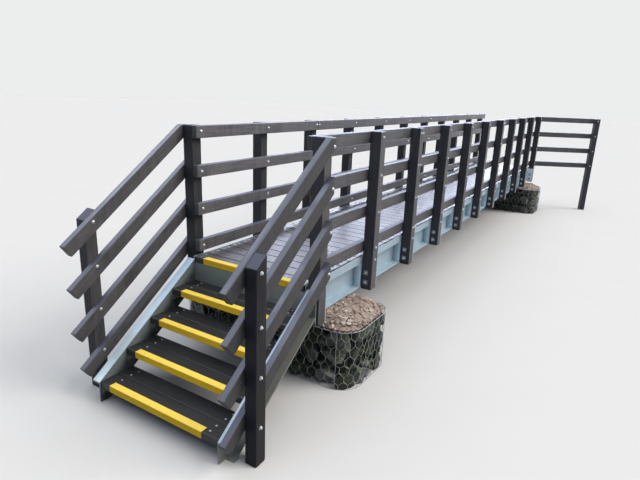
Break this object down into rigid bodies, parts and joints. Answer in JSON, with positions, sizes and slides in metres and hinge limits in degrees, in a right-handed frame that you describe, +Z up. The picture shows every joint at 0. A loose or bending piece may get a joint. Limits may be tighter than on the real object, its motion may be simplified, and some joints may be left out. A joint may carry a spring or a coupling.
{
  "type": "plastic footbridge",
  "caption": "Footbridge of recycled-plastic boards, posts and rails on two galvanised channels, with a short stair, a return fence and stone basket abutments.",
  "frame": {"origin": "centre of the near abutment's underside, on the floor", "axes": "+X along the bridge away from the stair, +Y to the left, +Z up"},
  "size_m": [10.7473, 2.6842, 1.968],
  "materials": {
    "rail_plastic": "weathered charcoal-brown recycled plastic",
    "deck_plastic": "ribbed grey recycled plastic, sun-bleached",
    "tread_plastic": "ribbed dark recycled plastic",
    "nosing_grip": "yellow gritted fibreglass",
    "galvanised_steel": "hot-dip galvanised, dull",
    "gabion_stone": "rough stone in wire mesh",
    "bed_stone": "loose beige stone"
  },
  "bodies": {
    "root": {"cross_members": "galvanised_steel", "deck": "deck_plastic", "deck_nosing": "nosing_grip", "far_end_plate": "galvanised_steel", "far_gabion": "gabion_stone", "far_stone_bed": "bed_stone", "left_bottom_rail": "rail_plastic", "left_deck_edge": "galvanised_steel", "left_main_beam": "galvanised_steel", "left_post_brackets": "galvanised_steel", "left_posts": "rail_plastic", "left_second_rail": "rail_plastic", "left_stair_post": "rail_plastic", "left_stair_rails": "rail_plastic", "left_stringer": "galvanised_steel", "left_third_rail": "rail_plastic", "left_top_rail": "rail_plastic", "near_end_plate": "galvanised_steel", "near_gabion": "gabion_stone", "near_stone_bed": "bed_stone", "return_fence_post": "rail_plastic", "return_fence_rails": "rail_plastic", "right_bottom_rail": "rail_plastic", "right_deck_edge": "galvanised_steel", "right_main_beam": "galvanised_steel", "right_post_brackets": "galvanised_steel", "right_posts": "rail_plastic", "right_second_rail": "rail_plastic", "right_stair_post": "rail_plastic", "right_stair_rails": "rail_plastic", "right_stringer": "galvanised_steel", "right_third_rail": "rail_plastic", "right_top_rail": "rail_plastic", "tread_1": "tread_plastic", "tread_2": "tread_plastic", "tread_3": "tread_plastic", "tread_4": "tread_plastic", "tread_cleats": "galvanised_steel", "tread_nosing_1": "nosing_grip", "tread_nosing_2": "nosing_grip", "tread_nosing_3": "nosing_grip", "tread_nosing_4": "nosing_grip"}
  },
  "joints": []
}
